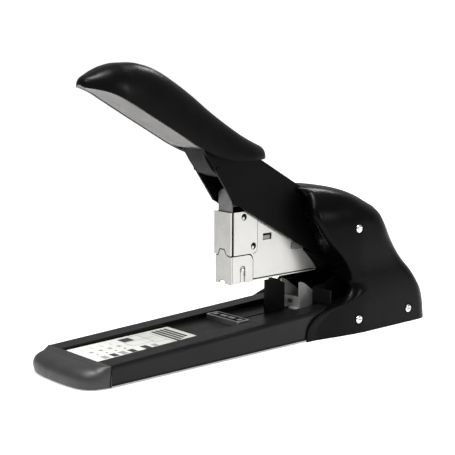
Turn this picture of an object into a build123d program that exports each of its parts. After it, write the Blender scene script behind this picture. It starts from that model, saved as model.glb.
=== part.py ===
from build123d import *
import math
import os

# Heavy-duty long-base stapler. Millimetres, +Z up, +X from the nose to the rear.
# The origin is on the table under the centre of the stapler's outline.
# Distances called "along" are measured back from the seam between nose cap and base.

SEAM_X = -126.0            # seam between nose cap and base
SLOPE_TOP = 0.037          # rise of the rail tops towards the rear
SLOPE_FLOOR = 0.0215       # rise of the recess floor towards the rear
TOP_Z0 = 12.85             # rail top at the seam
FLOOR_Z0 = 11.35           # recess floor at the seam
BASE_HALF_W = 32.0
RECESS_HALF_W = 18.6
BASE_LENGTH = 263.0
SHEET = 1.5                # base and arm sheet thickness
FOOT_H = 1.0               # rubber feet stand this far below the base
SLOT_HALF_W = 1.0          # centre slot for the paper stop

AXLE = (82.0, 62.0)        # handle axle, x and z
PIVOT = (92.0, 46.0)       # magazine pivot, x and z
AXLE_R = 4.0
PIVOT_R = 3.0
RUN = 0.05                 # running clearance of a shaft in its hole

ARM_OUT = 10.4             # outer half-width of the handle arm
ARM_IN = 8.9
FRAME_IN = 13.2            # inner face of the frame plates
FRAME_OUT = 14.7

MAG_IN = 6.55              # inner half-width of the magazine
MAG_OUT = 7.15             # outer half-width of its side plates
WRAP_OUT = 7.75            # outer half-width of the nose and cheeks
MAG_BOTTOM = 39.4
RAIL_TOP = 62.7            # staple rail, under the staple crowns
STAPLE_CROWN = 0.6

COVER_WALL = 2.4
SEAM_GAP = 0.65            # half-width of the spine between the covers


def along(points):
    return [(x + SEAM_X, z) for x, z in points]


def prism(points, y0, y1):
    """Side outline in x and z, carried across from y0 to y1."""
    wire = Wire.make_polygon([Vector(x, y0, z) for x, z in points], close=True)
    return extrude(Face(wire), amount=y1 - y0, dir=(0, 1, 0))


def pair(points, y0, y1):
    """The same prism on both sides of the middle plane."""
    return prism(points, y0, y1) + prism(points, -y1, -y0)


def rod(x, z, r, y0, y1):
    """Round bar lying across the stapler."""
    return Pos(x, (y0 + y1) / 2, z) * Rot(90, 0, 0) * Cylinder(r, y1 - y0)


def block(x0, x1, y0, y1, z0, z1):
    return Pos((x0 + x1) / 2, (y0 + y1) / 2, (z0 + z1) / 2) * Box(x1 - x0, y1 - y0, z1 - z0)


def rail_z(x):
    return TOP_Z0 + SLOPE_TOP * (x - SEAM_X)


def floor_z(x):
    return FLOOR_Z0 + SLOPE_FLOOR * (x - SEAM_X)


def sloped(x0, x1, below, above):
    """Outline that follows the recess floor between two offsets from it."""
    return [(x0, floor_z(x0) + below), (x1, floor_z(x1) + below),
            (x1, floor_z(x1) + above), (x0, floor_z(x0) + above)]


# ---------------------------------------------------------------- base

BASE_X0 = SEAM_X
BASE_X1 = SEAM_X + BASE_LENGTH
STOP_X = (21.4, 37.8)
ANVIL_X = (-16.5, -6.5)
ANVIL_TOP = 17.3


def base_channel():
    low = FOOT_H + SHEET
    outer = prism([(BASE_X0, low), (BASE_X1, low), (BASE_X1, rail_z(BASE_X1)), (BASE_X0, rail_z(BASE_X0))],
                  -BASE_HALF_W, BASE_HALF_W)
    top_edges = outer.edges().filter_by(lambda e: abs(abs(e.center().Y) - BASE_HALF_W) < 0.1 and e.center().Z > 10)
    outer = fillet(top_edges, 2.6)
    recess = prism([(BASE_X0 - 1, floor_z(BASE_X0 - 1)), (BASE_X1 + 1, floor_z(BASE_X1 + 1)), (BASE_X1 + 1, 40),
                    (BASE_X0 - 1, 40)], -RECESS_HALF_W, RECESS_HALF_W)
    hollow = pair([(BASE_X0 + SHEET, 0), (BASE_X1 - SHEET, 0), (BASE_X1 - SHEET, rail_z(BASE_X1) - SHEET),
                   (BASE_X0 + SHEET, rail_z(BASE_X0) - SHEET)], RECESS_HALF_W + SHEET, BASE_HALF_W - SHEET)
    under = prism([(BASE_X0 + SHEET, 0), (BASE_X1 - SHEET, 0), (BASE_X1 - SHEET, floor_z(BASE_X1) - SHEET),
                   (BASE_X0 + SHEET, floor_z(BASE_X0) - SHEET)], -RECESS_HALF_W - 1.6, RECESS_HALF_W + 1.6)
    slot = block(-3.0, 104.0, -SLOT_HALF_W, SLOT_HALF_W, 5, 30)
    body = outer - recess - hollow - under - slot
    for x, y in anvil_rivet_places() + frame_rivet_places():
        body -= Pos(x, y, 10) * Cylinder(1.5, 30)
    return body


def base_plate():
    plate = block(BASE_X0, BASE_X1, -BASE_HALF_W + 0.4, BASE_HALF_W - 0.4, FOOT_H, FOOT_H + SHEET)
    return fillet(plate.edges().filter_by(Axis.Z), 1.5)


def nose_outline():
    half = [(-19.0, 0.0), (-18.8, 9.0), (-18.0, 17.0), (-16.4, 23.4), (-13.2, 28.3), (-8.0, 31.2), (0.0, 32.0)]
    left = along([(x, -y) for x, y in reversed(half)])
    right = along(half[1:])
    curve = Spline(*[(x, y) for x, y in left + right])
    end = Line(curve @ 1, curve @ 0)
    return make_face(Wire([curve, end]))


def nose_cap():
    cap = extrude(nose_outline(), amount=30, dir=(0, 0, 1))
    side = prism(along([(-19.5, 0.6), (0, 0.6), (0, TOP_Z0), (-3.0, 12.55), (-7.0, 11.6), (-11.0, 10.1),
                        (-15.0, 8.0), (-17.6, 5.6), (-19.2, 2.4)]), -34, 34)
    cap = cap & side
    rim = cap.edges().filter_by(lambda e: e.center().Z > 3 and e.center().X < SEAM_X - 0.5 and abs(e.center().Y) > 14)
    try:
        cap = fillet(rim, 1.2)
    except ValueError:
        pass
    core = block(SEAM_X - 12, SEAM_X + 0.1, -24, 24, 0, 6.5)
    return cap - core


def info_label():
    return prism(sloped(SEAM_X + 0.6, SEAM_X + 78.6, 0, 0.15), -17.0, 17.0)


def anvil_rivet_places():
    return [(-11.5, -11.0), (-11.5, 11.0)]


def anvil_plate():
    x0, x1 = ANVIL_X
    plate = prism([(x0, floor_z(x0)), (x1, floor_z(x1)), (x1, ANVIL_TOP), (x0, ANVIL_TOP)], -15.4, 15.4)
    plate = fillet(plate.edges().filter_by(Axis.Z), 0.8)
    for side in (-1, 1):
        groove = block(-12.9, -10.1, min(side * 0.4, side * 6.6), max(side * 0.4, side * 6.6),
                       ANVIL_TOP - 0.7, ANVIL_TOP + 1)
        plate -= groove
    for x, y in anvil_rivet_places():
        plate -= Pos(x, y, ANVIL_TOP - 2.6) * Cylinder(1.5, 3.0)
    return plate


def anvil_rivets():
    solids = []
    for x, y in anvil_rivet_places():
        low = floor_z(x) - SHEET
        shank = Pos(x, y, (low + ANVIL_TOP - 1.2) / 2) * Cylinder(1.45, ANVIL_TOP - 1.2 - low)
        head = Pos(x, y, low - 0.75) * Cylinder(2.8, 1.3)
        solids.append(shank + head)
    return Compound(children=solids)


FOOT_STRIPS = [(-112.0, -98.0, -20.0, 20.0), (104.0, 118.0, -26.0, -12.0), (104.0, 118.0, 12.0, 26.0),
               (0.0, 12.0, -26.0, -16.0), (0.0, 12.0, 16.0, 26.0)]


def rubber_feet():
    solids = []
    for x0, x1, y0, y1 in FOOT_STRIPS:
        pad = block(x0, x1, y0, y1, 0, FOOT_H)
        solids.append(fillet(pad.edges().filter_by(Axis.Z), 3.0))
    return Compound(children=solids)


# ---------------------------------------------------------------- paper stop

def paper_stop():
    x0, x1 = STOP_X
    low = floor_z(x0) + 0.15
    blade = prism([(x0, low), (x1, floor_z(x1) + 0.15), (x1, 32.6), (x1 - 6.9, 36.4), (x0, 36.6)], -1.5, 1.5)
    neck = prism(sloped(x0 + 2, x1 - 2, -SHEET - 0.2, 0.3), -0.8, 0.8)
    return blade + neck


def stop_shoe():
    x0, x1 = STOP_X
    shoe = prism(sloped(x0, x1, -SHEET - 2.2, -SHEET - 0.2), -6.0, 6.0)
    return shoe


# ---------------------------------------------------------------- guide and frame

def guide_bracket():
    z0 = floor_z(44.0)
    foot = prism(sloped(40.6, 60.0, 0, 1.0), -9.2, 9.2) - block(40, 61, -1.9, 1.9, 0, 30)
    wall = block(43.8, 45.0, -9.2, 9.2, z0 + 0.3, 23.0) - block(43, 46, -2.6, 1.9, 18.0, 20.8)
    ears = pair(along([(170.0, 15.4), (186.3, 15.8), (186.3, 23.6), (181.4, 27.3), (175.0, 31.8), (172.0, 33.2),
                       (170.0, 33.2)]), 8.0, 9.2)
    return foot + wall + ears


def frame_rivet_places():
    return [(58.0, -11.3), (58.0, 11.3), (100.0, -11.3), (100.0, 11.3)]


def frame_plate(side):
    x0, x1 = 52.0, 106.0
    outline = [(x0, floor_z(x0)), (x1, floor_z(x1)), (x1, 40), (98, 70), (92, 74), (76, 74), (73, 70), (73, 58),
               (84, 46), (84, 39), (62, 31), (54, 30.4), (x0, 29.7)]
    plate = prism(outline, FRAME_IN, FRAME_OUT)
    foot = prism(sloped(x0 + 1.5, x1, 0, SHEET), 9.6, FRAME_IN + 0.5)
    flange = block(x0, x0 + 1.3, FRAME_IN, 29.4, 20.3, 29.7)
    body = plate + foot + flange
    body -= rod(AXLE[0], AXLE[1], AXLE_R + RUN, 8, 20)
    body -= rod(PIVOT[0], PIVOT[1], PIVOT_R + RUN, 8, 20)
    for x, y in frame_rivet_places():
        if y > 0:
            body -= Pos(x, y, 15) * Cylinder(1.5, 30)
    return body if side > 0 else mirror(body, Plane.XZ)


def frame_rivets():
    solids = []
    for x, y in frame_rivet_places():
        low = floor_z(x) - SHEET - 0.8
        high = floor_z(x) + SHEET + 0.15
        shank = Pos(x, y, (low + high) / 2) * Cylinder(1.45, high - low)
        head = Pos(x, y, high + 0.5) * Cylinder(1.6, 1.0)
        solids.append(shank + head)
    return Compound(children=solids)


def arm_axle():
    return rod(AXLE[0], AXLE[1], AXLE_R, -16.2, 16.2)


def magazine_axle():
    return rod(PIVOT[0], PIVOT[1], PIVOT_R, -16.2, 16.2)


def axle_clips():
    solids = []
    for (x, z), r in ((AXLE, AXLE_R), (PIVOT, PIVOT_R)):
        for side in (-1, 1):
            y0, y1 = sorted((side * (FRAME_OUT + 0.1), side * (FRAME_OUT + 0.9)))
            solids.append(rod(x, z, r + 2.2, y0, y1) - rod(x, z, r, y0 - 1, y1 + 1))
    return Compound(children=solids)


# ---------------------------------------------------------------- rear covers

# Cross-sections of the covers: distance along, height of the crown, then half-widths at the shares of it.
HEIGHT_SHARES = [0.0, 0.16, 0.32, 0.46, 0.60, 0.74, 0.86, 0.945, 0.985]
COVER_STATIONS = [
    (147.0, 99.0, [30.4, 29.9, 28.7, 27.0, 26.6, 25.6, 22.1, 15.3, 7.5]),
    (158.0, 98.8, [32.9, 32.4, 31.2, 29.5, 29.1, 28.1, 24.7, 18.0, 10.6]),
    (172.0, 98.4, [35.4, 34.9, 33.7, 32.0, 31.6, 30.7, 27.4, 20.9, 14.2]),
    (188.0, 96.8, [37.9, 37.4, 36.2, 34.6, 34.1, 33.3, 30.6, 25.0, 17.1]),
    (202.0, 94.0, [39.3, 38.8, 37.7, 36.0, 35.5, 34.8, 32.8, 26.2, 17.1]),
    (214.0, 90.2, [39.3, 38.8, 37.9, 36.2, 35.6, 35.0, 33.0, 24.4, 15.2]),
    (225.0, 84.6, [39.3, 38.9, 38.0, 36.6, 35.7, 34.3, 31.1, 24.5, 14.9]),
    (234.0, 78.8, [39.3, 38.9, 38.2, 37.0, 35.2, 31.3, 26.8, 20.9, 14.2]),
    (241.0, 68.1, [39.3, 39.0, 38.5, 37.6, 35.6, 30.4, 24.2, 18.6, 13.9]),
    (246.0, 56.8, [39.3, 39.0, 38.7, 38.1, 37.0, 32.6, 26.4, 20.2, 15.5]),
    (250.5, 48.5, [39.3, 39.1, 38.8, 38.4, 37.6, 34.6, 28.7, 22.5, 17.9]),
    (256.0, 40.3, [39.3, 39.1, 38.9, 38.6, 37.6, 35.2, 31.1, 25.9, 21.2]),
    (262.0, 32.4, [38.8, 38.5, 38.1, 37.4, 36.4, 34.2, 31.0, 27.2, 23.9]),
    (267.0, 23.4, [36.0, 35.5, 35.0, 34.4, 33.4, 32.0, 30.2, 27.8, 25.7]),
    (270.6, 5.2, [29.9, 29.6, 29.3, 28.9, 28.6, 28.1, 27.7, 27.2, 26.8]),
]

# Front edge of the covers, along and height, from the table up.
FRONT_EDGE = [(152.6, -1.0), (152.9, 3.6), (154.2, 9.1), (157.8, 13.6), (164.0, 17.0), (172.5, 19.6),
              (184.0, 22.0), (191.0, 26.5), (193.6, 33.0), (192.4, 40.5), (186.6, 48.1), (174.6, 58.3),
              (164.6, 68.0), (158.0, 78.0), (155.8, 86.0), (156.2, 92.0), (159.4, 96.0), (166.0, 99.0),
              (172.0, 110.0)]
EDGE_HALF_W = 36.0         # half-width at which the front edge is drawn
EDGE_SWEEP = 0.27          # the front walls run back towards the arm by this much per millimetre


def cover_section(x, top, widths, inset):
    """Cross-section of both covers at one station, a rounded arch."""
    right = [(w - inset, (top - inset) * share) for w, share in zip(widths, HEIGHT_SHARES)]
    left = [(-y, z) for y, z in reversed(right)]
    curve = Spline(*[(x + SEAM_X, y, z) for y, z in right + [(0.0, top - inset)] + left])
    return Face(Wire([curve, Line(curve @ 1, curve @ 0)]))


def cover_mass(inset, front_shift):
    faces = [cover_section(x, top, widths, inset) for x, top, widths in COVER_STATIONS if top - inset > 2]
    mass = Pos(-0.7 * inset, 0, 0) * loft(faces, ruled=True)
    return mass & (front_keep(1, front_shift) + front_keep(-1, front_shift))


def cover_room(inset, front_shift):
    """The space inside the covers, straight-sided between stations."""
    faces = []
    for x, top, widths in COVER_STATIONS:
        right = [(max(w - inset, 0.5), (top - inset) * share) for w, share in zip(widths, HEIGHT_SHARES)]
        right[0] = (right[0][0], -1.0)
        left = [(-y, z) for y, z in reversed(right)]
        if top - inset > 2:
            points = [Vector(x + SEAM_X - 0.7 * inset, y, z) for y, z in right + left]
            faces.append(Face(Wire.make_polygon(points, close=True)))
    room = loft(faces, ruled=True)
    return room & (front_keep(1, front_shift) + front_keep(-1, front_shift))


def front_keep(side, front_shift):
    """Everything behind the swept front edge on one side of the middle plane."""
    faces = []
    for y in (0.0, 60.0):
        shift = front_shift + EDGE_SWEEP * (EDGE_HALF_W - y)
        edge = along([(x + shift, z) for x, z in FRONT_EDGE] + [(300.0, 110.0), (300.0, -1.0)])
        faces.append(Face(Wire.make_polygon([Vector(x, side * y, z) for x, z in edge], close=True)))
    return loft(faces, ruled=True)


def covers():
    shell = cover_mass(0, 0) - cover_room(COVER_WALL, COVER_WALL)
    arm_slot = block(SEAM_X + 140, SEAM_X + 200, -12.4, 12.4, 70, 120)
    arm_slot -= prism(along([(172, 97), (205, 90), (205, 130), (172, 130)]), -13, 13)
    arm_slot += block(SEAM_X + 140, SEAM_X + 228, -15.4, 15.4, 18, 78)
    base_room = prism([(0, -1), (BASE_X1 + 0.3, -1), (BASE_X1 + 0.3, rail_z(BASE_X1) + 0.3), (0, rail_z(0) + 0.3)],
                      -BASE_HALF_W - 0.2, BASE_HALF_W + 0.2)
    mouth = block(SEAM_X + 150, SEAM_X + 206, -29.8, 29.8, 10, 31)
    floor_cut = block(0, 160, -60, 60, -5, 0.4)
    return shell - arm_slot - base_room - mouth - floor_cut


SCREWS = [(199.4, 69.7, 35.6), (196.8, 9.6, 38.4), (246.4, 9.6, 38.6)]


def cover_half(side, both):
    y0, y1 = (SEAM_GAP, 60) if side > 0 else (-60, -SEAM_GAP)
    half = both & block(0, 160, y0, y1, -1, 120)
    for x, z, y in SCREWS:
        boss_in = 16.5 if z > 30 else 33.0
        a, b = sorted((side * boss_in, side * (y - 1.2)))
        half += rod(x + SEAM_X, z, 4.6, a, b)
    for x, z, y in SCREWS:
        a, b = sorted((side * (y - 1.6), side * 45))
        half -= rod(x + SEAM_X, z, 4.0, a, b)
        a, b = sorted((side * (y - 14.0), side * 45))
        half -= rod(x + SEAM_X, z, 1.6, a, b) if z > 30 else rod(x + SEAM_X, z, 1.6, *sorted((side * 32.5, side * 45)))
    return half


def cover_spine():
    ring = cover_mass(0.2, 0.5) - cover_room(4.6, -40.0)
    strip = ring & block(SEAM_X + 182, 160, -SEAM_GAP + 0.05, SEAM_GAP - 0.05, 24, 120)
    return strip


def cover_screws():
    solids = []
    for x, z, y in SCREWS:
        for side in (-1, 1):
            y_in = y - 13.0 if z > 30 else 33.2
            a, b = sorted((side * y_in, side * (y - 1.6)))
            c, d = sorted((side * (y - 1.6), side * (y + 0.2)))
            head = rod(x + SEAM_X, z, 3.4, c, d)
            top = head.faces().sort_by(Axis.Y)[-1 if side > 0 else 0]
            head = fillet(top.edges(), 0.7)
            e, f = sorted((side * (y - 0.9), side * (y + 1)))
            cross = Pos(x + SEAM_X, (e + f) / 2, z) * (Box(3.6, f - e, 0.8) + Box(0.8, f - e, 3.6))
            solids.append(rod(x + SEAM_X, z, 1.55, a, b) + head - cross)
    return Compound(children=solids)


def return_spring():
    """Torsion spring as a close coil round the handle axle."""
    coil = rod(AXLE[0], AXLE[1], 7.2, -7.0, 7.0) - rod(AXLE[0], AXLE[1], AXLE_R, -8, 8)
    return coil


# ---------------------------------------------------------------- handle

ARM_EDGE = [(110.0, 92.0), (85.2, 127.0), (80.0, 134.3), (80.0, 145.8), (88.0, 142.9), (130.3, 119.1),
            (165.3, 99.4), (204.0, 77.7), (214.0, 72.3), (219.9, 62.0), (217.0, 53.8), (206.0, 50.2), (190.0, 47.2)]


def arm_outline():
    return along(ARM_EDGE)


def handle_arm():
    outer = prism(arm_outline(), -ARM_OUT, ARM_OUT)
    inner_edge = [(80.0, 90.0), (79.0, 143.9), (87.6, 141.2), (129.5, 117.6), (164.5, 97.9), (203.0, 76.2),
                  (203.0, 83.0), (240.0, 83.0), (240.0, 40.0), (120.0, 40.0)]
    inner = prism(along(inner_edge), -ARM_IN, ARM_IN)
    arm = outer - inner
    for x, z, r in (CORE_PIN, PRESS_PIN):
        arm -= rod(x, z, r, -20, 20)
    arm -= rod(AXLE[0], AXLE[1], AXLE_R + RUN, -20, 20)
    return arm


CORE_PIN = (97.0 + SEAM_X, 113.5, 2.0)
PRESS_PIN = (123.0 + SEAM_X, 116.5, 3.0)


def press_pin():
    """Cross shaft in the arm with the foot that pushes the driver block down."""
    x, z, r = PRESS_PIN
    foot = prism(along([(121.0, z), (127.0, z), (127.0, 104.4), (125.5, 101.9), (122.8, 101.9), (121.0, 104.4)]),
                 -5.6, 5.6)
    return rod(x, z, r, -ARM_OUT, ARM_OUT) + foot


def core_pin():
    x, z, r = CORE_PIN
    return rod(x, z, r, -ARM_OUT - 0.6, ARM_OUT + 0.6)


def grip_core():
    core = prism(along([(86.6, 125.0), (88.8, 119.6), (92.8, 114.4), (96.8, 110.7), (102.5, 108.3), (108.0, 112.5),
                        (118.4, 113.8), (118.4, 121.7), (88.4, 138.6), (84.0, 140.2), (84.0, 129.5)]), -8.6, 8.6)
    x, z, r = CORE_PIN
    return core - rod(x, z, r, -20, 20)


# Along, half-width, underside height and crown height of the grip.
GRIP_STATIONS = [(3.0, 1.6, 167.0, 169.4), (5.0, 3.8, 166.2, 170.9), (9.0, 7.4, 165.2, 173.2), (14.0, 10.9, 163.8, 175.8),
                 (20.0, 13.9, 161.6, 178.1), (27.0, 15.3, 158.0, 179.4), (36.0, 15.8, 153.0, 179.7),
                 (46.0, 16.0, 147.3, 178.0), (56.4, 16.1, 141.5, 174.2), (67.0, 16.1, 135.5, 168.4),
                 (79.5, 15.6, 128.4, 160.6), (93.0, 15.6, 122.6, 150.9), (108.0, 16.0, 119.0, 141.0),
                 (122.0, 15.2, 118.2, 132.8), (132.0, 12.8, 118.0, 128.2), (138.0, 9.0, 118.2, 125.8),
                 (141.2, 4.2, 119.4, 124.2)]


def grip_section(x, half_w, low, high, inset):
    w = half_w - inset
    t = high - low - inset
    shape = [(1.0, 0.0), (1.0, 0.12), (0.93, 0.42), (0.74, 0.74), (0.42, 0.94), (0.0, 1.0)]
    right = [(w * a, low + t * b) for a, b in shape]
    left = [(-y, z) for y, z in reversed(right[:-1])]
    curve = Spline(*[(x + SEAM_X, y, z) for y, z in right + left])
    return Face(Wire([curve, Line(curve @ 1, curve @ 0)]))


def grip_shell():
    outer = loft([grip_section(x, w, a, b, 0) for x, w, a, b in GRIP_STATIONS])
    inner = loft([grip_section(x, w, a - 0.02, b, 2.2) for x, w, a, b in GRIP_STATIONS[2:15]])
    shell = outer - inner
    arm_room = prism(along([(79.6, 100), (79.6, 147.0), (88.4, 143.9), (131.0, 120.0), (170.0, 98.0), (170, 60)]),
                     -ARM_OUT - 0.1, ARM_OUT + 0.1)
    return shell - arm_room


def grip_insert():
    """Flat grey panel that closes the underside of the grip ahead of the arm."""
    slab_faces = []
    for x, w, low, high in GRIP_STATIONS[3:10]:
        half = w - 2.6
        z0 = low + 0.6
        wire = Wire.make_polygon([Vector(x + SEAM_X, -half, z0), Vector(x + SEAM_X, half, z0),
                                  Vector(x + SEAM_X, half, z0 + 1.6), Vector(x + SEAM_X, -half, z0 + 1.6)], close=True)
        slab_faces.append(Face(wire))
    x, w, low, high = GRIP_STATIONS[10]
    half = w - 2.6
    z0 = low + 0.6
    wire = Wire.make_polygon([Vector(x - 0.6 + SEAM_X, -half, z0), Vector(x - 0.6 + SEAM_X, half, z0),
                              Vector(x - 0.6 + SEAM_X, half, z0 + 1.6), Vector(x - 0.6 + SEAM_X, -half, z0 + 1.6)], close=True)
    slab_faces.append(Face(wire))
    return loft(slab_faces, ruled=True)


# ---------------------------------------------------------------- magazine

def magazine_side(side):
    outline = along([(112.5, 40.0), (112.5, 85.4), (132.6, 85.4), (150.0, 75.6), (163.0, 66.5), (172.2, 56.6),
                     (176.4, 52.8), (184.6, 44.6), (187.3, 40.6), (186.4, 39.4)])
    plate = prism(outline, MAG_IN, MAG_OUT)
    plate -= block(138.0 + SEAM_X, 145.6 + SEAM_X, 0, 10, 65.3, 69.4)
    for hole_x, hole_z in ((121.1, 81.9), (129.3, 62.5)):
        plate -= rod(hole_x + SEAM_X, hole_z, 1.7, 0, 10)
    x, z, r = CROSS_PIN
    plate -= rod(x, z, 2.0, 0, 12)
    return plate if side > 0 else mirror(plate, Plane.XZ)


CROSS_PIN = (167.0 + SEAM_X, 57.9, 2.8)


def cross_pin():
    x, z, r = CROSS_PIN
    bar = rod(x, z, 2.0, -8.0, 8.0)
    lug = along([(163.2, 56.6), (163.8, 60.6), (167.0, 60.6), (172.2, 57.6), (172.2, 56.0)])
    return bar + pair(lug, MAG_OUT, 7.9)


def guide_cheeks():
    outline = along([(112.5, 57.8), (129.4, 57.8), (131.8, 58.8), (132.6, 61.2), (132.6, 85.4), (112.5, 85.4)])
    plates = []
    for side in (-1, 1):
        a, b = sorted((side * MAG_OUT, side * WRAP_OUT))
        cheek = prism(outline, a, b)
        for x, z in ((121.1, 81.9), (129.3, 62.5)):
            cheek -= rod(x + SEAM_X, z, 2.2, a - 1, b + 1)
        plates.append(cheek)
    return Compound(children=plates)


def across(points, x0, x1):
    """Front outline in y and z, carried back from x0 to x1."""
    wire = Wire.make_polygon([Vector(x0 + SEAM_X, y, z) for y, z in points], close=True)
    return extrude(Face(wire), amount=x1 - x0, dir=(1, 0, 0))


def front_plate():
    upper = across([(-7.0, 85.4), (8.7, 85.4), (8.7, 57.8), (5.0, 57.8), (3.3, 61.9), (-1.4, 61.9), (-3.4, 58.4),
                    (-7.0, 57.8)], 110.2, 111.5)
    tongue = across([(-6.9, 41.5), (6.9, 41.5), (6.9, 66.0), (-6.9, 66.0)], 110.95, 111.5)
    return upper + tongue


def nose_piece():
    """Lower nose: a folded sheet round the front and both sides, with a wavy top seam."""
    front = across([(-WRAP_OUT, MAG_BOTTOM), (-1.9, MAG_BOTTOM), (-1.2, 41.2), (1.0, 42.0), (3.2, 41.2),
                    (3.9, MAG_BOTTOM), (WRAP_OUT, MAG_BOTTOM), (WRAP_OUT, 57.2), (4.6, 57.2), (2.8, 61.3),
                    (-0.9, 61.3), (-3.0, 57.8), (-6.2, 57.2), (-WRAP_OUT, 57.2)], 110.2, 110.9)
    outline = along([(110.2, MAG_BOTTOM), (128.4, MAG_BOTTOM), (128.9, 40.0), (128.9, 53.2), (128.3, 55.2),
                     (126.8, 56.7), (125.0, 57.2), (110.2, 57.2)])
    wings = pair(outline, MAG_OUT + 0.01, WRAP_OUT)
    slot = rod(120.1 + SEAM_X, 48.6, 2.0, -12, 12) + block(118.1 + SEAM_X, 122.1 + SEAM_X, -12, 12, 38, 48.6)
    body = front + (wings - slot)
    corners = body.edges().filter_by(Axis.Z).sort_by(Axis.X)[0:2]
    return fillet(corners, 0.65)


def nose_pins():
    pins = [rod(120.0 + SEAM_X, 48.0, 1.2, MAG_OUT, 8.1), rod(120.0 + SEAM_X, 48.0, 1.2, -8.1, -MAG_OUT)]
    return Compound(children=pins)


def staple_rail():
    outline = along([(113.2, 40.5), (113.2, RAIL_TOP), (170.0, RAIL_TOP), (176.0, 55.0), (176.0, 40.5)])
    rail = prism(outline, -5.8, 5.8)
    rail -= block(112 + SEAM_X, 177 + SEAM_X, -4.8, 4.8, 30, RAIL_TOP - 1.0)
    x, z, r = CROSS_PIN
    return rail - rod(x, z, 2.0, -12, 12)


def staple_strip():
    x0, x1 = 113.2 + SEAM_X, 137.0 + SEAM_X
    strip = block(x0, x1, -6.45, 6.45, 41.0, RAIL_TOP + STAPLE_CROWN)
    strip -= block(x0 - 1, x1 + 1, -5.85, 5.85, 30, RAIL_TOP)
    return strip


def staple_pusher():
    x0, x1 = 137.3 + SEAM_X, 149.5 + SEAM_X
    slab = block(x0, x1, -6.0, 6.0, RAIL_TOP + 0.15, 71.4)
    return fillet(slab.edges().filter_by(Axis.Y).sort_by(Axis.Z)[-2:], 1.2)


def pusher_spring():
    x0, x1 = 149.5 + SEAM_X, 166.0 + SEAM_X
    coil = Pos((x0 + x1) / 2, 0, 66.2) * Rot(0, 90, 0) * (Cylinder(2.6, x1 - x0) - Cylinder(1.9, x1 - x0 + 1))
    return coil


def magazine_carrier():
    """Black rear part of the magazine that runs back to its pivot inside the covers."""
    side = along([(176.5, 40.2), (187.6, 39.6), (212.0, 39.2), (218.0, 39.0)])
    x, z = PIVOT
    lobe = [(x + 7 * math.sin(a), z - 7 * math.cos(a)) for a in [i * math.pi / 8 for i in range(0, 9)]]
    top = along([(205.0, 52.6), (188.0, 50.6), (184.0, 51.0), (176.5, 54.0)])
    outline = side[:3] + lobe + top
    plates = pair(outline, 5.85, MAG_IN)
    web = prism(along([(188.0, 39.6), (204.0, 39.3), (204.0, 40.8), (188.0, 41.1)]), -6.0, 6.0)
    body = plates + web
    return body - rod(x, z, PIVOT_R + RUN, -12, 12)


# ---------------------------------------------------------------- driver

def driver_blade():
    outline = [(-6.4, 64.6), (6.4, 64.6), (6.4, 96.5), (4.2, 99.2), (0.0, 100.2), (-4.2, 99.2), (-6.4, 96.5)]
    wire = Wire.make_polygon([Vector(111.8 + SEAM_X, y, z) for y, z in outline], close=True)
    blade = extrude(Face(wire), amount=0.8, dir=(1, 0, 0))
    for y in (-3.0, 3.0):
        blade -= Pos(112.2 + SEAM_X, y, 93.0) * Rot(0, 90, 0) * Cylinder(1.0, 4)
    return blade


def driver_block():
    body = block(112.6 + SEAM_X, 118.0 + SEAM_X, -6.2, 6.2, 88.8, 100.0)
    body = fillet(body.edges().filter_by(Axis.X).sort_by(Axis.Z)[-2:], 3.6)
    for y in (-3.0, 3.0):
        body -= Pos(113.5 + SEAM_X, y, 93.0) * Rot(0, 90, 0) * Cylinder(1.0, 5)
    return body


def driver_rivets():
    solids = []
    for y in (-3.0, 3.0):
        solids.append(Pos(113.9 + SEAM_X, y, 93.0) * Rot(0, 90, 0) * Cylinder(0.95, 4.2))
    return Compound(children=solids)


def write(shape, name):
    export_step(shape, "parts/" + name + ".step")


def main():
    os.makedirs("parts", exist_ok=True)
    both = covers()
    write(base_channel(), "base_channel")
    write(base_plate(), "base_plate")
    write(nose_cap(), "nose_cap")
    write(info_label(), "info_label")
    write(anvil_plate(), "anvil_plate")
    write(anvil_rivets(), "anvil_rivets")
    write(rubber_feet(), "rubber_feet")
    write(paper_stop(), "paper_stop")
    write(stop_shoe(), "stop_shoe")
    write(guide_bracket(), "guide_bracket")
    write(frame_plate(-1), "frame_plate_near")
    write(frame_plate(1), "frame_plate_far")
    write(frame_rivets(), "frame_rivets")
    write(arm_axle(), "arm_axle")
    write(magazine_axle(), "magazine_axle")
    write(axle_clips(), "axle_clips")
    write(cover_half(-1, both), "cover_near")
    write(cover_half(1, both), "cover_far")
    write(cover_spine(), "cover_spine")
    write(cover_screws(), "cover_screws")
    write(return_spring(), "return_spring")
    write(handle_arm(), "handle_arm")
    write(grip_shell(), "grip_shell")
    write(grip_insert(), "grip_insert")
    write(grip_core(), "grip_core")
    write(core_pin(), "core_pin")
    write(press_pin(), "press_pin")
    write(magazine_side(-1), "magazine_side_near")
    write(magazine_side(1), "magazine_side_far")
    write(magazine_carrier(), "magazine_carrier")
    write(cross_pin(), "cross_pin")
    write(guide_cheeks(), "guide_cheeks")
    write(front_plate(), "front_plate")
    write(nose_piece(), "nose_piece")
    write(nose_pins(), "nose_pins")
    write(staple_rail(), "staple_rail")
    write(staple_strip(), "staple_strip")
    write(staple_pusher(), "staple_pusher")
    write(pusher_spring(), "pusher_spring")
    write(driver_blade(), "driver_blade")
    write(driver_block(), "driver_block")
    write(driver_rivets(), "driver_rivets")


main()
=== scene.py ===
import bmesh
import bpy
import math
import numpy as np
from mathutils import Matrix, Vector

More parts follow.
